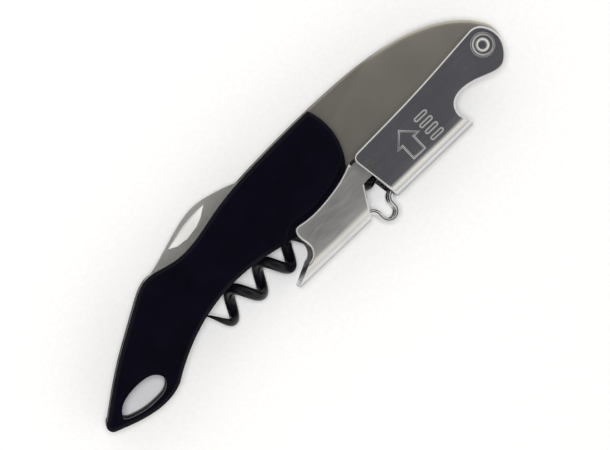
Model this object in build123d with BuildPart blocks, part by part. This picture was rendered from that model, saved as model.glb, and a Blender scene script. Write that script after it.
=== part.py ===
"""Waiter's corkscrew with a double-hinged lever, folded flat and lying on its side.

+X runs from the tail of the handle to its head, +Y from the levers to the blade,
and +Z through the thickness. Every outline is drawn from the tip of the tail, and
its plane carries it to the part's own origin, which is the middle of its footprint.
"Half" sizes are measured from the middle plane of the thickness.
"""

import os
from math import cos, pi, sin

from build123d import *

os.makedirs("parts", exist_ok=True)

# ---- Place of the part's origin on the drawing ----
origin_x = 61.7
origin_y = 5.84
mid_z = 7.0

# ---- Layers through the thickness, as distances from the middle plane ----
blade_half = 0.6
slot_half = 1.0
core_half = 4.3
plate_half = 5.0
head_half = 6.0
pad_half = 7.0
lever_half = 7.0
sheet = 0.9
lever_gap = 0.1

# ---- Pivots, all along Z ----
main_pivot = (118.6, 4.4)
lever_hinge = (82.2, 2.6)
worm_pivot = (88.5, 0.43)
blade_pivot = (29.5, 13.6)

# ---- Pins and running fits ----
running = 0.05
main_pin_radius = 1.4
blade_pin_radius = 1.5
trunnion_radius = 1.45
hinge_rivet_radius = 1.2
lobe_radius = 3.2
tab_radius = 2.4

# ---- Worm ----
wire_radius = 1.27
coil_radius = 2.75
coil_pitch = 8.72
barrel_radius = 2.6
barrel_half = 3.4

# ---- Lever channel ----
web_one_y = -7.2
web_two_y = -7.0
bend_radius = 3.0
edge_radius = 0.5

# ---- Lever spring ----
spring_wire_radius = 0.52
spring_spread = 2.7


def level(half):
    """Drawing plane at a signed distance from the middle plane."""
    return Plane(origin=(-origin_x, -origin_y, mid_z + half))


def cross_plane(x):
    """Plane across the length of the part, its own x along the part's Y."""
    return Plane(origin=(x, -origin_y, mid_z), x_dir=(0, 1, 0), z_dir=(1, 0, 0))


mid_plane = Plane.XY.offset(mid_z)

# ---------------------------------------------------------------------------
# Shared outlines
# ---------------------------------------------------------------------------

tail_bottom = (1.2, -1.75)
tail_top = (1.3, 1.35)
joint_foot = (77.9, 5.7)
head_end = (122.6, 7.4)
head_foot = (118.2, -0.4)

with BuildSketch() as handle_outline:
    with BuildLine():
        back = Spline(
            tail_top, (10, 7.8), (22.5, 15.4), (28.6, 18.0), (35.5, 16.7), (50, 18.4), (66, 20.1),
            (78.5, 20.45), (90, 20.3), (100, 19.4), (110, 17.0), (118, 12.6), head_end,
        )
        nose = TangentArc(back @ 1, head_foot, tangent=back % 1)
        Spline(nose @ 1, (112.5, 1.2), (104, 2.2), (94, 2.4), tangents=[nose % 1, (-1, 0)])
        Polyline((94, 2.4), (91.4, 1.4), (85.6, 1.4), (85.3, 5.7), joint_foot)
        Spline(
            joint_foot, (75, 3.4), (69, 1.9), (60, 1.9), (50, 3.7), (44, 4.2), (33, 2.9), (25, 0),
            (18.6, -3.6),
        )
        Spline((18.6, -3.6), (14.6, -4.65), (6, -3.45), tail_bottom)
        ThreePointArc(tail_bottom, (0, -0.15), tail_top)
    make_face()
    with Locations(worm_pivot):
        Circle(lobe_radius)

# Everything left of the convex joint between the grip and the grey head.
with BuildSketch() as tail_side:
    with BuildLine():
        ThreePointArc((78.5, 23.5), (81.2, 14.3), (77.9, 5.7))
        Polyline((77.9, 5.7), (77.9, -12), (-6, -12), (-6, 23.5), (78.5, 23.5))
    make_face()

# Room for the levers, which lie over the lower edge of the handle.
with BuildSketch() as lever_band:
    with BuildLine():
        Spline(
            (57.2, 1.0), (58.3, 3.3), (60.8, 4.3), (65, 3.85), (70, 4.2), (75.6, 5.6), (78.6, 7.0),
            (84, 7.4),
        )
        Polyline((84, 7.4), (84, -12), (57.2, -12), (57.2, 1.0))
    make_face()

with BuildSketch() as lanyard_hole:
    with BuildLine():
        Spline(
            (4.3, -0.3), (6.35, 1.66), (9.3, 2.45), (12.8, 2.5), (15.6, 1.6), (16.8, -0.4), (15.7, -2.2),
            (12.6, -2.95), (9.6, -2.85), (6.6, -2.2),
            periodic=True,
        )
    make_face()

# ---------------------------------------------------------------------------
# Body halves: a plate under each grip that thickens into the grey head
# ---------------------------------------------------------------------------

rivet_places = [(21.5, 6.0), (60.5, 7.8), (72.0, 12.0)]
rivet_radius = 1.2
rivet_head_radius = 2.0
rivet_head_depth = 0.4
dowel_places = [(90.0, 15.0), (106.0, 13.6)]
dowel_radius = 1.0
dowel_half = 5.2

with BuildPart() as body_half_near:
    with BuildSketch(level(core_half)):
        add(handle_outline.sketch)
        add(lanyard_hole.sketch, mode=Mode.SUBTRACT)
    extrude(amount=head_half - core_half)
    fillet(body_half_near.edges().group_by(Axis.Z)[-1].sort_by(SortBy.LENGTH)[-1], radius=0.9)
    with BuildSketch(level(plate_half)):
        add(tail_side.sketch)
    extrude(amount=head_half, mode=Mode.SUBTRACT)
    with BuildSketch(level(core_half)):
        with Locations(main_pivot):
            Circle(main_pin_radius + running)
        with Locations(worm_pivot):
            Circle(trunnion_radius + running)
        with Locations(blade_pivot):
            Circle(blade_pin_radius + running)
        with Locations(*rivet_places):
            Circle(rivet_radius + running)
    extrude(amount=pad_half, mode=Mode.SUBTRACT)
    with BuildSketch(level(plate_half)):
        with Locations(*rivet_places):
            Circle(rivet_head_radius + running)
    extrude(amount=-rivet_head_depth - running, mode=Mode.SUBTRACT)
    with BuildSketch(level(core_half)):
        with Locations(*dowel_places):
            Circle(dowel_radius + running)
    extrude(amount=dowel_half - core_half + running, mode=Mode.SUBTRACT)

with BuildPart() as body_half_far:
    mirror(body_half_near.part, about=mid_plane)

# ---------------------------------------------------------------------------
# Grips: soft scales with a raised, bevelled pad that stops above the levers
# ---------------------------------------------------------------------------

pad_bevel = 0.85

with BuildPart() as grip_near:
    with BuildSketch(level(plate_half)):
        add(handle_outline.sketch)
        add(tail_side.sketch, mode=Mode.INTERSECT)
    extrude(amount=head_half - plate_half)
    with BuildSketch(level(head_half)):
        add(handle_outline.sketch)
        add(tail_side.sketch, mode=Mode.INTERSECT)
        add(lever_band.sketch, mode=Mode.SUBTRACT)
    extrude(amount=pad_half - head_half)
    chamfer(grip_near.edges().group_by(Axis.Z)[-1], length=pad_bevel)
    with BuildSketch(level(plate_half)):
        add(lanyard_hole.sketch)
    extrude(amount=pad_half, mode=Mode.SUBTRACT)

with BuildPart() as grip_far:
    mirror(grip_near.part, about=mid_plane)

# ---------------------------------------------------------------------------
# Inner frame of the handle: blade liners, tail spacer and head spacer
# ---------------------------------------------------------------------------

liner_left = 24.3
liner_right = 64.2

with BuildPart() as blade_liner_near:
    with BuildSketch(level(slot_half)):
        with BuildLine():
            Spline((liner_left, 15.7), (28.6, 17.4), (35.5, 16.1), (50, 17.8), (liner_right, 19.3))
            Polyline((liner_right, 19.3), (liner_right, 5.6), (liner_left, 5.6), (liner_left, 15.7))
        make_face()
        with Locations(blade_pivot):
            Circle(blade_pin_radius + running, mode=Mode.SUBTRACT)
        with Locations(rivet_places[1]):
            Circle(rivet_radius + running, mode=Mode.SUBTRACT)
    extrude(amount=core_half - slot_half)

with BuildPart() as blade_liner_far:
    mirror(blade_liner_near.part, about=mid_plane)

with BuildPart() as tail_spacer:
    with BuildSketch(level(-core_half)):
        add(handle_outline.sketch)
        with Locations((liner_left + 50, 0)):
            Rectangle(100, 60, mode=Mode.SUBTRACT)
        add(lanyard_hole.sketch, mode=Mode.SUBTRACT)
        with Locations(rivet_places[0]):
            Circle(rivet_radius + running, mode=Mode.SUBTRACT)
    extrude(amount=2 * core_half)
    with BuildSketch(level(-slot_half)):
        with BuildLine():
            Polyline((6, 8.6), (30, 8.6), (30, 24), (6, 24), (6, 8.6))
        make_face()
    extrude(amount=2 * slot_half, mode=Mode.SUBTRACT)

with BuildPart() as head_spacer:
    with BuildSketch(level(-core_half)):
        with BuildLine():
            Spline((64.6, 19.4), (78.5, 19.9), (96, 19.3), (110, 16.4), (118, 12.2), (121.6, 8.6))
            Polyline((121.6, 8.6), (117, 9.2), (106, 11.2), (88, 11.8), (77, 7.4), (64.6, 6.2), (64.6, 19.4))
        make_face()
        with Locations(rivet_places[2]):
            Circle(rivet_radius + running, mode=Mode.SUBTRACT)
        with Locations(*dowel_places):
            Circle(dowel_radius + running, mode=Mode.SUBTRACT)
    extrude(amount=2 * core_half)

with BuildPart() as handle_rivets:
    with BuildSketch(level(-plate_half + running)):
        with Locations(*rivet_places):
            Circle(rivet_radius)
    extrude(amount=2 * (plate_half - running))
    with BuildSketch(level(plate_half - running)):
        with Locations(*rivet_places):
            Circle(rivet_head_radius)
    extrude(amount=-rivet_head_depth + running)
    with BuildSketch(level(-plate_half + running)):
        with Locations(*rivet_places):
            Circle(rivet_head_radius)
    extrude(amount=rivet_head_depth - running)

with BuildPart() as head_dowels:
    with BuildSketch(level(-dowel_half)):
        with Locations(*dowel_places):
            Circle(dowel_radius)
    extrude(amount=2 * dowel_half)
    chamfer(head_dowels.edges().filter_by(GeomType.CIRCLE), length=0.2)

# ---------------------------------------------------------------------------
# Foil blade, its pin, washers and back spring
# ---------------------------------------------------------------------------

tang_radius = 4.4
nick_depth = 0.55

with BuildPart() as blade:
    with BuildSketch(level(-blade_half)):
        with BuildLine():
            Spline(
                (29.5, 17.95), (31.5, 18.35), (36, 19.7), (42, 21.6), (47.6, 22.4), (52.5, 21.55), (58, 19.7),
                (62.3, 17.0), (64.0, 14.6),
            )
            Spline((64.0, 14.6), (60, 12.6), (52, 11.1), (42, 10.9), (35, 11.6))
            Line((35, 11.6), (33.2, 10.2))
            Line((33.2, 10.2), (29.5, 9.3))
            Line((29.5, 9.3), (29.5, 17.95))
        make_face()
        with Locations(blade_pivot):
            Circle(tang_radius)
            Circle(blade_pin_radius + running, mode=Mode.SUBTRACT)
    extrude(amount=2 * blade_half)
    with BuildSketch(level(blade_half - nick_depth)):
        with BuildLine():
            Spline((36.9, 19.3), (38.8, 18.35), (41.6, 18.05), (44.9, 18.6), (47.0, 19.45), (49.4, 21.1))
            Spline((49.4, 21.1), (46.2, 21.2), (42.4, 20.75), (36.9, 19.3))
        make_face()
    extrude(amount=2 * nick_depth, mode=Mode.SUBTRACT)

with BuildPart() as blade_pin:
    with BuildSketch(level(-plate_half + running)):
        with Locations(blade_pivot):
            Circle(blade_pin_radius)
    extrude(amount=2 * (plate_half - running))
    chamfer(blade_pin.edges().filter_by(GeomType.CIRCLE), length=0.25)

with BuildPart() as blade_washers:
    with BuildSketch(level(blade_half + 0.03)):
        with Locations(blade_pivot):
            Circle(3.0)
            Circle(blade_pin_radius + running, mode=Mode.SUBTRACT)
    extrude(amount=slot_half - blade_half - 0.05)
    mirror(about=mid_plane)

with BuildPart() as blade_spring:
    with BuildSketch(level(-0.85)):
        with BuildLine():
            Spline((27.5, 9.0), (31.5, 8.95), (45, 8.9), (57.5, 9.4), (64.0, 9.4))
            Polyline((64.0, 9.4), (64.0, 6.2), (57.5, 6.2))
            Spline((57.5, 6.2), (52, 7.6), (40, 8.1), (27.5, 8.2))
            Line((27.5, 8.2), (27.5, 9.0))
        make_face()
        with Locations(rivet_places[1]):
            Circle(rivet_radius + running, mode=Mode.SUBTRACT)
    extrude(amount=1.7)

# ---------------------------------------------------------------------------
# Worm: tapered point, open right-hand helix, and a shank that runs into the barrel
# ---------------------------------------------------------------------------

first_bottom_x = 36.5
coil_start_x = 32.9
coil_end_x = 76.0
easing_length = 7.0
shank_end_x = worm_pivot[0] + barrel_radius
taper_length = 6.5
taper_steps = 8
point_share = 0.12
steps_per_turn = 12


def worm_point(x):
    """Centre of the wire at a distance x along the worm, easing from the coil to its axis."""
    ease = min(max((x - coil_end_x) / easing_length, 0), 1)
    radius = coil_radius * (1 + cos(pi * ease)) / 2
    turn = pi + 2 * pi * (x - first_bottom_x) / coil_pitch
    return Vector(x - origin_x, worm_pivot[1] - origin_y + radius * cos(turn), mid_z + radius * sin(turn))


def wire_section(x, radius):
    """Round section of the wire, square to its run."""
    run = worm_point(x + 0.05) - worm_point(x - 0.05)
    with BuildSketch(Plane(origin=worm_point(x), z_dir=run)) as section:
        Circle(radius)
    return section.sketch


coil_body_x = coil_start_x + taper_length
step = coil_pitch / steps_per_turn
knee_x = coil_end_x + easing_length + 0.5
step_count = int((knee_x - 0.5 - coil_body_x) / step)

with BuildPart() as worm_tip:
    for i in range(taper_steps + 1):
        share = i / taper_steps
        thickness = point_share + (1 - point_share) * sin(pi / 2 * share)
        add(wire_section(coil_start_x + share * taper_length, wire_radius * thickness))
    loft()

with BuildPart() as worm:
    for i in range(step_count + 1):
        add(wire_section(coil_body_x + i * step, wire_radius))
    add(wire_section(knee_x, wire_radius))
    loft()
    add(worm_tip.part)
    with BuildSketch(Plane(origin=worm_point(knee_x), z_dir=(1, 0, 0))):
        Circle(wire_radius)
    extrude(amount=shank_end_x - knee_x)

with BuildPart() as worm_barrel:
    with BuildSketch(level(-barrel_half)):
        with Locations(worm_pivot):
            Circle(barrel_radius)
    extrude(amount=2 * barrel_half)
    with BuildSketch(level(running - head_half)):
        with Locations(worm_pivot):
            Circle(trunnion_radius)
    extrude(amount=2 * (head_half - running))
    with BuildSketch(Plane(origin=worm_point(shank_end_x), z_dir=(1, 0, 0))):
        Circle(wire_radius + 0.01)
    extrude(amount=3 * barrel_radius, both=True, mode=Mode.SUBTRACT)

with BuildPart() as worm_washers:
    with BuildSketch(level(barrel_half + running)):
        with Locations(worm_pivot):
            Circle(barrel_radius - 0.1)
            Circle(trunnion_radius + running, mode=Mode.SUBTRACT)
    extrude(amount=core_half - barrel_half - 2 * running)
    mirror(about=mid_plane)

# ---------------------------------------------------------------------------
# Levers: two pressed channels, hinged end to end
# ---------------------------------------------------------------------------

inner_half = lever_half - sheet
tab_half = inner_half - lever_gap
tab_left = 77.8
tab_right = 78.8
ring_radius = 2.85
ring_depth = 0.4
engraving_depth = 0.15
hook_x = 66.5
hook_hole_radius = 0.62

with BuildSketch() as first_lever_outline:
    with BuildLine():
        Polyline((80.1, 4.6), (82.0, web_one_y), (105.4, web_one_y))
        Spline(
            (105.4, web_one_y), (105.3, -6.0), (104.35, -3.6), (105.2, -0.9), (108, 0.15), (112.5, -0.6),
            (115.5, -1.7), (118.6, -2.15), (121.2, -0.3), (122.7, 2.8), (122.5, 5.4), (120.9, 7.9),
            (118.2, 8.65),
        )
        Spline((118.2, 8.65), (112, 8.1), (100, 7.1), (90, 6.6), (81.8, 6.3))
        Spline((81.8, 6.3), (80.5, 5.8), (80.1, 4.6))
    make_face()

with BuildSketch() as second_lever_outline:
    with BuildLine():
        Polyline((52.4, web_two_y), (73.9, web_two_y), (76.6, -2.4), (78.2, 0.25), (tab_right, 0.25))
        Line((tab_right, 0.25), (tab_right, 5.95))
        Spline((tab_right, 5.95), (76, 4.75), (70, 3.45), (65, 3.1), (61.6, 3.45))
        Spline((61.6, 3.45), (60.2, 3.3), (59.55, 2.1))
        Spline((59.55, 2.1), (59.7, 0.2), (59.9, -1.7), (59.3, -3.1), (57.6, -4.05))
        Polyline((57.6, -4.05), (52.45, -6.5), (52.4, web_two_y))
    make_face()

with BuildSketch() as tab_outline:
    with BuildLine():
        Polyline((tab_left, 5.0), (tab_left, 0.25), (82.2, 0.25), (82.2, 5.0), (tab_left, 5.0))
    make_face()
    with Locations(lever_hinge):
        Circle(tab_radius)

with BuildSketch() as jog_outline:
    with BuildLine():
        Polyline((tab_left, 5.0), (tab_left, 0.25), (tab_right, 0.25), (tab_right, 5.0), (tab_left, 5.0))
    make_face()

# Stamped arrow that points at the free edge, and plain thumb bars beside it.
with BuildSketch() as arrow_mark:
    with BuildLine():
        Polyline(
            (91.8, 3.7), (87.9, 0.1), (89.8, 0.1), (89.8, -3.6), (93.7, -3.6), (93.7, 0.1), (95.6, 0.1),
            (91.8, 3.7),
        )
    make_face()
    offset(amount=-0.45, mode=Mode.SUBTRACT)

with BuildSketch() as thumb_bars:
    with Locations((97.6, -2.9), (97.6, -1.1), (97.6, 0.7), (97.6, 2.5)):
        SlotOverall(3.4, 0.8)


def channel(outline, web_y):
    """A pressed channel: the outline through the full width, hollowed from its open side."""
    with BuildPart() as pressing:
        with BuildSketch(level(-lever_half)):
            add(outline)
        extrude(amount=2 * lever_half)
        fillet(pressing.edges().filter_by(Axis.X).group_by(Axis.Y)[0], radius=bend_radius)
        bend_top = web_y + bend_radius - origin_y
        walls = pressing.faces().filter_by(Plane.XY)
        fillet(walls.edges().filter_by(lambda edge: (edge @ 0.5).Y > bend_top + 0.2), radius=edge_radius)
        with BuildSketch(cross_plane(-2 * origin_x)) as hollow:
            with Locations((web_y + sheet + 20, 0)):
                Rectangle(40, 2 * inner_half)
            fillet(hollow.vertices().group_by(Axis.X)[0], radius=bend_radius - sheet)
        extrude(amount=4 * origin_x, mode=Mode.SUBTRACT)
    return pressing.part


with BuildPart() as first_lever:
    add(channel(first_lever_outline.sketch, web_one_y))
    with BuildSketch(level(-lever_half)):
        with Locations(main_pivot):
            Circle(main_pin_radius + 0.01)
        with Locations(lever_hinge):
            Circle(hinge_rivet_radius + 0.01)
    extrude(amount=2 * lever_half, mode=Mode.SUBTRACT)
    for side in (1, -1):
        with BuildSketch(level(side * lever_half)):
            with Locations(main_pivot):
                Circle(ring_radius + running)
        extrude(amount=-side * ring_depth, mode=Mode.SUBTRACT)
        with BuildSketch(level(side * lever_half)):
            add(arrow_mark.sketch)
            add(thumb_bars.sketch)
        extrude(amount=-side * engraving_depth, mode=Mode.SUBTRACT)

with BuildPart() as second_lever:
    add(channel(second_lever_outline.sketch, web_two_y))
    for side in (1, -1):
        with BuildSketch(level(side * tab_half)):
            add(tab_outline.sketch)
        extrude(amount=-side * sheet)
        with BuildSketch(level(side * lever_half)):
            add(jog_outline.sketch)
        extrude(amount=-side * (lever_gap + 2 * sheet))
    with BuildSketch(level(-lever_half)):
        with Locations(lever_hinge):
            Circle(hinge_rivet_radius + running)
    extrude(amount=2 * lever_half, mode=Mode.SUBTRACT)
    under_web = Plane(origin=(-origin_x, web_two_y - 1 - origin_y, mid_z), x_dir=(1, 0, 0), z_dir=(0, 1, 0))
    with BuildSketch(under_web):
        with Locations((hook_x, spring_spread), (hook_x, -spring_spread)):
            Circle(hook_hole_radius)
    extrude(amount=1 + 2 * sheet, mode=Mode.SUBTRACT)

with BuildPart() as lever_hinge_rivets:
    with BuildSketch(level(tab_half - sheet - running)):
        with Locations(lever_hinge):
            Circle(hinge_rivet_radius)
    extrude(amount=2 * sheet + lever_gap)
    with BuildSketch(level(tab_half - sheet - running)):
        with Locations(lever_hinge):
            Circle(1.7)
    extrude(amount=-0.35)
    mirror(about=mid_plane)

# ---------------------------------------------------------------------------
# Main pivot: pin, rings in the lever's recesses, and the sleeve between the halves
# ---------------------------------------------------------------------------

ring_thickness = 0.35
dome_radius = 1.5
dome_rise = 0.45

with BuildPart() as main_pivot_pin:
    with BuildSketch(level(running - lever_half)):
        with Locations(main_pivot):
            Circle(main_pin_radius)
    extrude(amount=2 * (lever_half - running))
    with BuildSketch(level(lever_half - running)):
        with Locations(main_pivot):
            Circle(dome_radius)
    extrude(amount=dome_rise)
    fillet(main_pivot_pin.edges().group_by(Axis.Z)[-1], radius=dome_rise - 0.05)

with BuildPart() as pivot_rings:
    with BuildSketch(level(lever_half - ring_depth)):
        with Locations(main_pivot):
            Circle(ring_radius)
            Circle(main_pin_radius + 0.01, mode=Mode.SUBTRACT)
    extrude(amount=ring_thickness)
    mirror(about=mid_plane)

with BuildPart() as pivot_sleeve:
    with BuildSketch(level(running - core_half)):
        with Locations(main_pivot):
            Circle(3.0)
            Circle(main_pin_radius + running, mode=Mode.SUBTRACT)
    extrude(amount=2 * (core_half - running))

# ---------------------------------------------------------------------------
# Lever spring: a hairpin whose two strands each loop out between the webs
# ---------------------------------------------------------------------------

loop_radius = 2.0
elbow_radius = 1.8
hook_radius = 1.0
leg_one_y = -5.6
leg_two_y = -5.5
loop_x = 78.35
loop_y = -8.26
leg_one_end = 91.2
loop_left = loop_x - loop_radius
loop_right = loop_x + loop_radius
strand_corners = [
    (hook_x, web_two_y + running), (hook_x, leg_two_y), (loop_left, leg_two_y),
    (loop_left, loop_y - loop_radius),
    (loop_right, loop_y - loop_radius), (loop_right, leg_one_y), (leg_one_end, leg_one_y),
]
strand_radii = [hook_radius, elbow_radius, loop_radius - 0.01, loop_radius - 0.01, elbow_radius]
turn_radius = spring_spread - 0.01

with BuildPart() as lever_spring:
    near_corners = [(x - origin_x, y - origin_y, mid_z + spring_spread) for x, y in strand_corners]
    far_corners = [(x, y, 2 * mid_z - z) for x, y, z in reversed(near_corners)]
    with BuildLine() as hairpin:
        FilletPolyline(
            *near_corners,
            *far_corners,
            radius=strand_radii + [turn_radius, turn_radius] + strand_radii[::-1],
        )
    with BuildSketch(Plane(origin=near_corners[0], z_dir=(0, 1, 0))):
        Circle(spring_wire_radius)
    sweep(path=hairpin.wire())

clip_left = 84.6
clip_length = 2.6
clip_sheet = 0.5
clip_half = spring_spread + spring_wire_radius + running
clip_top = leg_one_y + spring_wire_radius + running
web_top = web_one_y + sheet

with BuildPart() as spring_clip:
    with BuildSketch(cross_plane(clip_left - origin_x)):
        with Locations(((web_top + clip_top + clip_sheet) / 2, 0)):
            Rectangle(clip_top + clip_sheet - web_top, 2 * (clip_half + clip_sheet))
        with Locations(((web_top + clip_top) / 2, 0)):
            Rectangle(clip_top - web_top, 2 * clip_half, mode=Mode.SUBTRACT)
    extrude(amount=clip_length)

# ---------------------------------------------------------------------------
# Write one file for each piece
# ---------------------------------------------------------------------------

pieces = {
    "body_half_near": body_half_near,
    "body_half_far": body_half_far,
    "grip_near": grip_near,
    "grip_far": grip_far,
    "blade_liner_near": blade_liner_near,
    "blade_liner_far": blade_liner_far,
    "tail_spacer": tail_spacer,
    "head_spacer": head_spacer,
    "handle_rivets": handle_rivets,
    "head_dowels": head_dowels,
    "blade": blade,
    "blade_pin": blade_pin,
    "blade_washers": blade_washers,
    "blade_spring": blade_spring,
    "worm": worm,
    "worm_barrel": worm_barrel,
    "worm_washers": worm_washers,
    "first_lever": first_lever,
    "second_lever": second_lever,
    "lever_hinge_rivets": lever_hinge_rivets,
    "main_pivot_pin": main_pivot_pin,
    "pivot_rings": pivot_rings,
    "pivot_sleeve": pivot_sleeve,
    "lever_spring": lever_spring,
    "spring_clip": spring_clip,
}

for name, piece in pieces.items():
    piece.part.label = name
    export_step(piece.part, f"parts/{name}.step")
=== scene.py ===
"""A folded waiter's corkscrew on its side, on a plain pale floor under soft light."""

import math

import bmesh
import bpy
from mathutils import Matrix, Vector


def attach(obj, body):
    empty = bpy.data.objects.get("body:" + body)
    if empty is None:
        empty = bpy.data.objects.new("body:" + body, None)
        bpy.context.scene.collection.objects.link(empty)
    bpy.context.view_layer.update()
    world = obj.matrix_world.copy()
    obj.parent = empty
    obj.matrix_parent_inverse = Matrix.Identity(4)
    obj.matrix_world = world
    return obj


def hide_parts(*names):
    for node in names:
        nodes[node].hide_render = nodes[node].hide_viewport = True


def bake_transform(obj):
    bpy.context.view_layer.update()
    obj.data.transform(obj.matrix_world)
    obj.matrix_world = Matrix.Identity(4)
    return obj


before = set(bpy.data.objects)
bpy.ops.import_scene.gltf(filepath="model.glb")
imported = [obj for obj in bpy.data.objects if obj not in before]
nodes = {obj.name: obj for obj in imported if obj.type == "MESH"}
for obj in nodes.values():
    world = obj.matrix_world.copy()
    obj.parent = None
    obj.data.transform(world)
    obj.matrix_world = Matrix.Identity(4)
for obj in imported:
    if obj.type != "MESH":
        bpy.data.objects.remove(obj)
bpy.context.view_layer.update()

MM = 0.001
ORIGIN = (61.7, 5.84)  # the frame's origin, in millimetres from the tip of the tail
MID_HEIGHT = 7  # the plane midway between the near and far faces


# ---------------------------------------------------------------------------
# Materials
# ---------------------------------------------------------------------------


def shader(name):
    """A material with only a Principled shader, its node tree and that shader."""
    material = bpy.data.materials.new(name)
    material.use_nodes = True
    tree = material.node_tree
    tree.nodes.clear()
    output = tree.nodes.new("ShaderNodeOutputMaterial")
    surface = tree.nodes.new("ShaderNodeBsdfPrincipled")
    tree.links.new(surface.outputs["BSDF"], output.inputs["Surface"])
    return material, tree, surface


def noise(tree, scale, detail=3.0, stretch=(1, 1, 1), tilt=0.0):
    """Noise in object space, turned by tilt about Z and drawn out along an axis whose stretch is below 1."""
    place = tree.nodes.new("ShaderNodeTexCoord")
    mapping = tree.nodes.new("ShaderNodeMapping")
    mapping.inputs["Scale"].default_value = stretch
    mapping.inputs["Rotation"].default_value = (0, 0, tilt)
    pattern = tree.nodes.new("ShaderNodeTexNoise")
    pattern.inputs["Scale"].default_value = scale
    pattern.inputs["Detail"].default_value = detail
    tree.links.new(place.outputs["Object"], mapping.inputs["Vector"])
    tree.links.new(mapping.outputs["Vector"], pattern.inputs["Vector"])
    return pattern.outputs["Fac"]


def blend_colour(tree, factor, first, second, low=0.3, high=0.7):
    """A colour that runs from first to second as the factor goes from low to high."""
    ramp = tree.nodes.new("ShaderNodeValToRGB")
    ramp.color_ramp.elements[0].position = low
    ramp.color_ramp.elements[0].color = (*first, 1)
    ramp.color_ramp.elements[1].position = high
    ramp.color_ramp.elements[1].color = (*second, 1)
    tree.links.new(factor, ramp.inputs["Fac"])
    return ramp.outputs["Color"]


def spread(tree, factor, low, high):
    """A number that runs from low to high as the factor goes from 0.3 to 0.7."""
    span = tree.nodes.new("ShaderNodeMapRange")
    span.inputs["From Min"].default_value = 0.3
    span.inputs["From Max"].default_value = 0.7
    span.inputs["To Min"].default_value = low
    span.inputs["To Max"].default_value = high
    tree.links.new(factor, span.inputs["Value"])
    return span.outputs["Result"]


def bump(tree, surface, height, strength, depth, under=None):
    """Gives the surface relief, over an earlier relief if there is one."""
    relief = tree.nodes.new("ShaderNodeBump")
    relief.inputs["Strength"].default_value = strength
    relief.inputs["Distance"].default_value = depth
    tree.links.new(height, relief.inputs["Height"])
    if under is not None:
        tree.links.new(under, relief.inputs["Normal"])
    tree.links.new(relief.outputs["Normal"], surface.inputs["Normal"])
    return relief.outputs["Normal"]


def painted_bend_shade(tree, tone):
    """Darkens a tone towards the outer edge of the levers' bend: painted shade, standing in for a darker
    reflection there.
    """
    place = tree.nodes.new("ShaderNodeTexCoord")
    axes = tree.nodes.new("ShaderNodeSeparateXYZ")
    span = tree.nodes.new("ShaderNodeMapRange")
    span.inputs["From Min"].default_value = (-7.2 - ORIGIN[1]) * MM
    span.inputs["From Max"].default_value = (-6.3 - ORIGIN[1]) * MM
    span.inputs["To Min"].default_value = 0.24
    span.inputs["To Max"].default_value = 1.0
    scaled = tree.nodes.new("ShaderNodeVectorMath")
    scaled.operation = "SCALE"
    tree.links.new(place.outputs["Object"], axes.inputs["Vector"])
    tree.links.new(axes.outputs["Y"], span.inputs["Value"])
    tree.links.new(tone, scaled.inputs[0])
    tree.links.new(span.outputs["Result"], scaled.inputs["Scale"])
    return scaled.outputs["Vector"]


def roll(tree):
    """Height that falls away from the flat of a lever towards its bend, as pressed sheet does."""
    place = tree.nodes.new("ShaderNodeTexCoord")
    axes = tree.nodes.new("ShaderNodeSeparateXYZ")
    span = tree.nodes.new("ShaderNodeMapRange")
    span.clamp = False
    span.inputs["From Min"].default_value = (-0.6 - ORIGIN[1]) * MM
    span.inputs["From Max"].default_value = (-4.2 - ORIGIN[1]) * MM
    tree.links.new(place.outputs["Object"], axes.inputs["Vector"])
    tree.links.new(axes.outputs["Y"], span.inputs["Value"])
    value = span.outputs["Result"]
    for operation, number in (("MAXIMUM", 0.0), ("POWER", 2.0), ("MULTIPLY", -1.0)):
        step = tree.nodes.new("ShaderNodeMath")
        step.operation = operation
        step.inputs[1].default_value = number
        tree.links.new(value, step.inputs[0])
        value = step.outputs["Value"]
    return value


def metal(
    name, dark, light, rough, grain, stretch=(1, 1, 1), depth=0.00002, tilt=0.0, strength=0.25, sway=0.0,
    bend_shade_and_roll=False, metallic=1.0,
):
    """Bare or plated metal: fine grain in its relief and gloss, a mottled tone, and any slow sway."""
    material, tree, surface = shader(name)
    surface.inputs["Metallic"].default_value = metallic
    tone = blend_colour(tree, noise(tree, 140, 2.0), dark, light)
    # Painted shade: on the levers the base colour is darkened towards the bend's outer edge, standing in for
    # a darker reflection there.
    tree.links.new(painted_bend_shade(tree, tone) if bend_shade_and_roll else tone, surface.inputs["Base Color"])
    fine = noise(tree, grain, 4.0, stretch, tilt)
    tree.links.new(spread(tree, fine, rough * 0.85, rough * 1.15), surface.inputs["Roughness"])
    relief = bump(tree, surface, fine, strength, depth)
    if sway:
        relief = bump(tree, surface, noise(tree, 75, 0.0, (1, 0.7, 1)), 1.0, sway, relief)
    if bend_shade_and_roll:
        bump(tree, surface, roll(tree), 1.0, 0.00022, relief)
    return material


def soft(name, dark, light, rough, grain, depth=0.00003, strength=0.3, gloss=0.5):
    """Moulded or coated surface: an even tone with a fine pebble in its relief."""
    material, tree, surface = shader(name)
    surface.inputs["Specular IOR Level"].default_value = gloss
    mottle = noise(tree, 180, 3.0)
    tree.links.new(blend_colour(tree, mottle, dark, light), surface.inputs["Base Color"])
    fine = noise(tree, grain, 3.0)
    tree.links.new(spread(tree, fine, rough * 0.85, rough * 1.15), surface.inputs["Roughness"])
    bump(tree, surface, fine, strength, depth)
    return material


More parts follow.
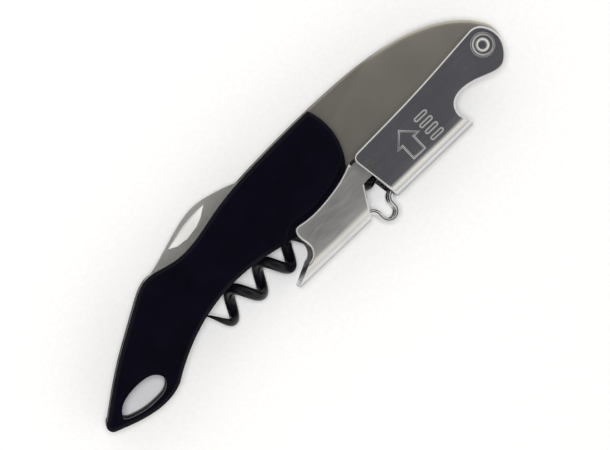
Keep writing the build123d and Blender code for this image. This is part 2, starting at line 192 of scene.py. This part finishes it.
satin_nickel = metal(
    "satin_nickel", (0.51, 0.485, 0.44), (0.56, 0.535, 0.49), 0.38, 5200, strength=0.20, sway=0.0003,
)
polished_lever = metal(
    "polished_lever", (0.70, 0.70, 0.72), (0.75, 0.75, 0.77), 0.20, 4600,
    stretch=(0.05, 1, 1), depth=0.000004, sway=0.0007, bend_shade_and_roll=True,
)
brushed_lever = metal(
    "brushed_lever", (0.72, 0.72, 0.73), (0.78, 0.78, 0.79), 0.38, 5200,
    stretch=(0.05, 1, 1), depth=0.000008, sway=0.0008, bend_shade_and_roll=True,
)
blade_steel = metal(
    "blade_steel", (0.86, 0.86, 0.86), (0.91, 0.91, 0.91), 0.48, 5200,
    stretch=(1, 0.06, 1), depth=0.000008, tilt=0.15, sway=0.0006,
)
# Painted highlight: a lighter, partly diffuse copy of the blade steel, so the nail nick shows bright
# whatever it faces.
nick_steel_painted_highlight = metal(
    "nick_steel_painted_highlight", (0.94, 0.94, 0.94), (0.97, 0.97, 0.97), 0.42, 4000,
    stretch=(1, 0.2, 1), depth=0.000004, metallic=0.55,
)
pivot_steel = metal("pivot_steel", (0.68, 0.68, 0.69), (0.78, 0.78, 0.79), 0.18, 2600, depth=0.000008)
spring_steel = metal("spring_steel", (0.66, 0.67, 0.70), (0.76, 0.77, 0.80), 0.17, 3200, depth=0.000008)
fastener_steel = metal("fastener_steel", (0.50, 0.50, 0.51), (0.60, 0.60, 0.61), 0.28, 2800)
spacer_metal = metal("spacer_metal", (0.34, 0.33, 0.31), (0.42, 0.41, 0.39), 0.46, 3600)
washer_brass = metal("washer_brass", (0.62, 0.43, 0.18), (0.72, 0.52, 0.24), 0.28, 3000)
soft_grip = soft(
    "soft_grip", (0.0012, 0.0009, 0.0034), (0.0022, 0.0017, 0.0052), 0.40, 4200, strength=0.12, gloss=0.07,
)
inner_frame = soft("inner_frame", (0.003, 0.003, 0.004), (0.006, 0.006, 0.008), 0.65, 2600, gloss=0.05)
worm_coating = soft(
    "worm_coating", (0.002, 0.002, 0.004), (0.004, 0.004, 0.007), 0.30, 3000, strength=0.12, gloss=0.28,
)

FINISH = {
    "body_half_near": satin_nickel,
    "body_half_far": satin_nickel,
    "grip_near": soft_grip,
    "grip_far": soft_grip,
    "blade_liner_near": inner_frame,
    "blade_liner_far": inner_frame,
    "tail_spacer": inner_frame,
    "head_spacer": spacer_metal,
    "handle_rivets": fastener_steel,
    "head_dowels": fastener_steel,
    "blade": blade_steel,
    "blade_pin": fastener_steel,
    "blade_washers": washer_brass,
    "blade_spring": spring_steel,
    "worm": worm_coating,
    "worm_barrel": fastener_steel,
    "worm_washers": washer_brass,
    "first_lever": polished_lever,
    "second_lever": brushed_lever,
    "lever_hinge_rivets": fastener_steel,
    "main_pivot_pin": pivot_steel,
    "pivot_rings": pivot_steel,
    "pivot_sleeve": spacer_metal,
    "lever_spring": spring_steel,
    "spring_clip": brushed_lever,
}

for name, material in FINISH.items():
    for place in nodes[name].material_slots:
        place.material = material


# ---------------------------------------------------------------------------
# Finer pieces, drawn in millimetres from the tip of the tail like the CAD outlines
# ---------------------------------------------------------------------------


def point(x, y, z):
    """A point of the drawing in the scene's frame."""
    return Vector(((x - ORIGIN[0]) * MM, (y - ORIGIN[1]) * MM, z * MM))


def place_mesh(name, mesh, body, material, angle=30.0):
    """Makes a mesh a piece, smooth except at edges over the angle, that rides on any body given.

    Its one slot holds the given material.
    """
    shape = bmesh.new()
    shape.from_mesh(mesh)
    bmesh.ops.recalc_face_normals(shape, faces=shape.faces)
    for face in shape.faces:
        face.smooth = True
    for edge in shape.edges:
        edge.smooth = len(edge.link_faces) == 2 and edge.calc_face_angle(0) < math.radians(angle)
    shape.to_mesh(mesh)
    shape.free()
    mesh.materials.clear()
    mesh.materials.append(material)
    piece = bpy.data.objects.new(name, mesh)
    bpy.context.scene.collection.objects.link(piece)
    if body:
        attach(piece, body)
    return piece


def cad_copy(node):
    """The CAD node's mesh as an editable shape with its split vertices joined."""
    shape = bmesh.new()
    shape.from_mesh(nodes[node].data)
    bmesh.ops.remove_doubles(shape, verts=shape.verts, dist=0.000001)
    return shape


def to_mesh(name, shape):
    """A finished shape as a new mesh."""
    mesh = bpy.data.meshes.new(name)
    shape.to_mesh(mesh)
    shape.free()
    return mesh


def slice_along(shape, axis, start, end, gap):
    """Cuts the shape with evenly spaced planes square to an axis, between two places on it."""
    normal = Vector((axis == 0, axis == 1, axis == 2))
    for i in range(int((end - start) / gap) + 1):
        here = start + i * gap
        cut = point(here, 0, 0) if axis == 0 else point(0, here, 0)
        bmesh.ops.bisect_plane(
            shape, geom=shape.verts[:] + shape.edges[:] + shape.faces[:], dist=0.000002,
            plane_co=cut, plane_no=normal,
        )


def turned(name, profile, centre, side, body, material, steps=56):
    """A round piece: (radius, height) points turned about a centre, on the near or the far side."""
    shape = bmesh.new()
    rings = []
    for radius, height in profile:
        z = MID_HEIGHT + side * height
        if radius == 0:
            rings.append([shape.verts.new(point(centre[0], centre[1], z))])
            continue
        rings.append([
            shape.verts.new(point(
                centre[0] + radius * math.cos(2 * math.pi * i / steps),
                centre[1] + radius * math.sin(2 * math.pi * i / steps),
                z,
            ))
            for i in range(steps)
        ])
    for inner, outer in zip(rings, rings[1:]):
        for i in range(steps):
            j = (i + 1) % steps
            if len(inner) == 1:
                shape.faces.new((inner[0], outer[i], outer[j]))
            elif len(outer) == 1:
                shape.faces.new((inner[i], outer[0], inner[j]))
            else:
                shape.faces.new((inner[i], outer[i], outer[j], inner[j]))
    return place_mesh(name, to_mesh(name, shape), body, material, 40)


def bead(name, path, half_width, rise, base, side, body, material):
    """A closed raised line with a round back, which follows a path on the face of a lever."""
    shape = bmesh.new()
    steps = 6  # facets across the round back
    count = len(path)
    rings = []
    for i in range(count):
        here = Vector(path[i])
        before = (here - Vector(path[i - 1])).normalized()
        after = (Vector(path[(i + 1) % count]) - here).normalized()
        across = Vector((-(before.y + after.y), before.x + after.x))
        across = across.normalized() / max(0.5, across.normalized().dot(Vector((-after.y, after.x))))
        ring = []
        for j in range(steps + 1):
            turn = math.pi * j / steps
            off = across * (half_width * math.cos(turn))
            ring.append(shape.verts.new(point(
                here.x + off.x, here.y + off.y, MID_HEIGHT + side * (base + rise * math.sin(turn))
            )))
        rings.append(ring)
    for i in range(count):
        first, second = rings[i], rings[(i + 1) % count]
        for j in range(steps):
            shape.faces.new((first[j], first[j + 1], second[j + 1], second[j]))
        shape.faces.new((first[steps], first[0], second[0], second[steps]))
    return place_mesh(name, to_mesh(name, shape), body, material, 50)


def loop_line(centre, length, radius, steps=8):
    """The outline of a bar with round ends, along the drawing's X."""
    line = []
    for end, start in ((1, -90), (-1, 90)):
        for i in range(steps + 1):
            turn = math.radians(start + 180 * i / steps)
            line.append((
                centre[0] + end * (length / 2 - radius) + radius * math.cos(turn),
                centre[1] + radius * math.sin(turn),
            ))
    return line


# The grey head: a low dome that falls away from the edge of the lever.
HEAD_START = 77
PLATE_FACE = 5  # height above the middle plane of the body halves' face under the grips
MOST_FALL = 0.9  # the largest share of the head's rise over that face that the dome takes away
for node, side in (("body_half_near", 1), ("body_half_far", -1)):
    shape = cad_copy(node)
    slice_along(shape, 0, 79.0, 122.0, 1.0)
    slice_along(shape, 1, 0.0, 20.0, 1.0)
    middle = MID_HEIGHT * MM
    for vertex in shape.verts:
        height = side * (vertex.co.z - middle) / MM
        x = vertex.co.x / MM + ORIGIN[0]
        y = vertex.co.y / MM + ORIGIN[1]
        if height > PLATE_FACE + 0.01 and x > HEAD_START:
            fall = 0.60 * ((x - 102) / 20) ** 2 + 0.88 * (max(y - 7.5, 0) / 12) ** 2
            vertex.co.z = middle + side * (height - min(fall, MOST_FALL) * (height - PLATE_FACE)) * MM
    head = place_mesh(node + "_domed", to_mesh(node + "_domed", shape), "handle", satin_nickel)
    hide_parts(node)

# Grips: the same moulding with its edges broken.
for node in ("grip_near", "grip_far"):
    shape = cad_copy(node)
    bmesh.ops.dissolve_limit(shape, angle_limit=math.radians(0.6), verts=shape.verts, edges=shape.edges)
    corners = [edge for edge in shape.edges if edge.calc_face_angle(0) > math.radians(25)]
    bmesh.ops.bevel(
        shape, geom=corners, offset=0.16 * MM, offset_type="OFFSET", segments=3, profile=0.5,
        affect="EDGES", clamp_overlap=True,
    )
    grip = place_mesh(node + "_softened", to_mesh(node + "_softened", shape), "handle", soft_grip, 22)
    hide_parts(node)

# Blade: ground thin along its cutting edge.
CUTTING_EDGE = [(34.0, 11.9), (35, 11.6), (42, 10.9), (52, 11.1), (60, 12.6), (64.0, 14.6), (65, 15.4)]
GRIND_WIDTH = 2.4
shape = cad_copy("blade")
slice_along(shape, 0, 35.5, 63.5, 1.0)
slice_along(shape, 1, 11.0, 16.5, 0.5)
for vertex in shape.verts:
    x = vertex.co.x / MM + ORIGIN[0]
    y = vertex.co.y / MM + ORIGIN[1]
    for first, second in zip(CUTTING_EDGE, CUTTING_EDGE[1:]):
        if first[0] <= x <= second[0]:
            edge_y = first[1] + (second[1] - first[1]) * (x - first[0]) / (second[0] - first[0])
            rise = min(max((y - edge_y) / GRIND_WIDTH, 0), 1)
            grind = min(max((x - 34.5) / 2.0, 0), 1)
            thinned = 1 - grind * 0.9 * (1 - rise)
            vertex.co.z = MID_HEIGHT * MM + (vertex.co.z - MID_HEIGHT * MM) * thinned
blade = place_mesh("blade_ground", to_mesh("blade_ground", shape), "foil_blade", blade_steel, 12)
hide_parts("blade")

# Nail nick: a scoop in the blade's near face, deepest along its upper edge.
NICK_LOW = [(36.9, 19.3), (38.8, 18.35), (41.6, 18.05), (44.9, 18.6), (47.0, 19.45), (49.4, 21.1)]
NICK_HIGH = [(36.9, 19.3), (39.4, 19.98), (42.4, 20.75), (45.0, 21.1), (47.0, 21.28), (49.4, 21.1)]
NICK_STEPS = 10  # from the nick's lower edge to its upper one
NICK_SHARES = 6  # along each side of the outline
BLADE_FACE = 7.61  # just over the blade's near face
shape = bmesh.new()
columns = []
for i in range(len(NICK_LOW) - 1):
    last = i == len(NICK_LOW) - 2
    for k in range(NICK_SHARES + last):
        share = k / NICK_SHARES
        low = Vector(NICK_LOW[i]).lerp(Vector(NICK_LOW[i + 1]), share)
        high = Vector(NICK_HIGH[i]).lerp(Vector(NICK_HIGH[i + 1]), share)
        width = (high - low).length
        column = []
        for j in range(NICK_STEPS + 1):
            across = j / NICK_STEPS
            here = low.lerp(high, across)
            depth = min(0.52, 0.27 * width) * across ** 1.15
            column.append(shape.verts.new(point(here.x, here.y, BLADE_FACE - depth)))
        columns.append(column)
for first, second in zip(columns, columns[1:]):
    for j in range(NICK_STEPS):
        shape.faces.new((first[j], second[j], second[j + 1], first[j + 1]))
bmesh.ops.remove_doubles(shape, verts=shape.verts, dist=0.000001)
# The nick's material is a painted highlight, lighter than the blade steel.
nick = place_mesh("nail_nick", to_mesh("nail_nick", shape), "foil_blade", nick_steel_painted_highlight)

# Pivot: a raised ring round a dished recess, with the pin's polished dome in it. The far ring is cut lower,
# so that the object lies flat.
PIVOT = (118.6, 4.4)
RING = [
    (1.62, 6.72), (2.30, 6.70), (2.42, 6.78), (2.50, 7.02), (2.60, 7.14), (2.72, 7.14), (2.82, 7.03),
    (2.85, 6.90), (2.85, 6.62), (1.62, 6.62), (1.62, 6.72),
]
FLUSH_HEIGHT = 6.98  # just inside the outer face of the lever
FLUSH_RING = [(radius, min(height, FLUSH_HEIGHT)) for radius, height in RING]
near_ring = turned("pivot_ring_near", RING, PIVOT, 1, "lever_one", pivot_steel)
turned("pivot_ring_far", FLUSH_RING, PIVOT, -1, "lever_one", pivot_steel)
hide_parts("pivot_rings")
PIN = [
    (0, -6.93), (1.40, -6.93), (1.40, 6.70), (1.56, 6.74), (1.60, 6.86), (1.52, 7.06), (1.32, 7.23),
    (1.05, 7.33), (0.7, 7.38), (0.35, 7.395), (0, 7.4),
]
pin = turned("pivot_pin_domed", PIN, PIVOT, 1, "lever_one", pivot_steel)
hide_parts("main_pivot_pin")

# Stamped arrow and thumb bars on both flanges of the first lever. The far ones start lower, clear of the
# table.
ARROW = [(91.8, 3.35), (88.8, 0.35), (90.1, 0.35), (90.1, -3.3), (93.4, -3.3), (93.4, 0.35), (94.8, 0.35)]
for label, side, base in (("near", 1, 6.93), ("far", -1, 6.83)):
    bead("arrow_bead_" + label, ARROW, 0.24, 0.16, base, side, "lever_one", polished_lever)
    for i, y in enumerate((-2.9, -1.1, 0.7, 2.5)):
        line = loop_line((97.6, y), 3.4, 0.4)
        bead(f"thumb_bar_{label}_{i}", line, 0.17, 0.13, base, side, "lever_one", polished_lever)

# The lever spring: the CAD wire, copied with smooth shading and tied to no body.
spring_mesh = to_mesh("lever_spring_wire", cad_copy("lever_spring"))
spring = place_mesh("lever_spring_wire", spring_mesh, None, spring_steel, 60)
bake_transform(spring)
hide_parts("lever_spring")

# ---------------------------------------------------------------------------
# Floor, light and camera
# ---------------------------------------------------------------------------


def plane_mesh(name, width, depth, z):
    """A flat sheet centred on the origin."""
    mesh = bpy.data.meshes.new(name)
    x, y = width / 2, depth / 2
    mesh.from_pydata([(-x, -y, z), (x, -y, z), (x, y, z), (-x, y, z)], [], [(0, 1, 2, 3)])
    sheet = bpy.data.objects.new(name, mesh)
    bpy.context.scene.collection.objects.link(sheet)
    return sheet


paper, paper_tree, paper_surface = shader("floor_paper")
paper_surface.inputs["Roughness"].default_value = 0.9
paper_surface.inputs["Specular IOR Level"].default_value = 0.1
paper_tree.links.new(
    blend_colour(paper_tree, noise(paper_tree, 900, 4.0), (0.71, 0.71, 0.725), (0.74, 0.74, 0.755)),
    paper_surface.inputs["Base Color"],
)
floor = plane_mesh("floor", 3.0, 3.0, 0.0)
floor.data.materials.append(paper)

world = bpy.data.worlds.new("soft_box")
bpy.context.scene.world = world
world.use_nodes = True
sky = world.node_tree
sky.nodes.clear()
sky_output = sky.nodes.new("ShaderNodeOutputWorld")
sky_light = sky.nodes.new("ShaderNodeBackground")
sky_place = sky.nodes.new("ShaderNodeTexCoord")
sky_axes = sky.nodes.new("ShaderNodeSeparateXYZ")
sky_ramp = sky.nodes.new("ShaderNodeValToRGB")
sky_ramp.color_ramp.elements[0].position = 0.0
sky_ramp.color_ramp.elements[0].color = (0.50, 0.50, 0.50, 1)
sky_ramp.color_ramp.elements[1].position = 0.95
sky_ramp.color_ramp.elements[1].color = (0.085, 0.085, 0.097, 1)
for place, colour in ((0.38, (0.95, 0.925, 0.835, 1)), (0.72, (1.0, 0.975, 0.885, 1))):
    sky_ramp.color_ramp.elements.new(place).color = colour
sky_light.inputs["Strength"].default_value = 1.0
sky.links.new(sky_place.outputs["Generated"], sky_axes.inputs["Vector"])
sky.links.new(sky_axes.outputs["Z"], sky_ramp.inputs["Fac"])
sky.links.new(sky_ramp.outputs["Color"], sky_light.inputs["Color"])
sky.links.new(sky_light.outputs["Background"], sky_output.inputs["Surface"])


def area_light(name, place, aim, size, power):
    """A soft square light aimed at a point."""
    lamp = bpy.data.lights.new(name, "AREA")
    lamp.shape = "SQUARE"
    lamp.size = size
    lamp.energy = power
    light = bpy.data.objects.new(name, lamp)
    light.location = place
    light.rotation_mode = "QUATERNION"
    light.rotation_quaternion = (Vector(aim) - Vector(place)).to_track_quat("-Z", "Y")
    bpy.context.scene.collection.objects.link(light)
    return light


PICTURE_TURN = math.radians(43.5)
CAMERA_LEAN = math.radians(5)
CAMERA_AIM = Vector((0.00072, -0.00327, 0.013))
CAMERA_DISTANCE = 0.60
PICTURE_WIDTH = 0.13472

right = Vector((math.cos(PICTURE_TURN), -math.sin(PICTURE_TURN), 0))
picture_up = Vector((math.sin(PICTURE_TURN), math.cos(PICTURE_TURN), 0))
back = Vector((0, 0, 1)) * math.cos(CAMERA_LEAN) - right * math.sin(CAMERA_LEAN)
picture_right = right * math.cos(CAMERA_LEAN) + Vector((0, 0, 1)) * math.sin(CAMERA_LEAN)

lens = bpy.data.cameras.new("camera")
lens.sensor_width = 36
lens.lens = 36 * CAMERA_DISTANCE / PICTURE_WIDTH
camera = bpy.data.objects.new("camera", lens)
bpy.context.scene.collection.objects.link(camera)
camera.matrix_world = Matrix.Translation(CAMERA_AIM + back * CAMERA_DISTANCE) @ Matrix(
    (picture_right, picture_up, back)
).transposed().to_4x4()
bpy.context.scene.camera = camera
bpy.context.scene.view_settings.view_transform = "Standard"

top_lamp = area_light("top_lamp", CAMERA_AIM + back * 0.70, CAMERA_AIM, 0.14, 3.9)
top_lamp.visible_glossy = False
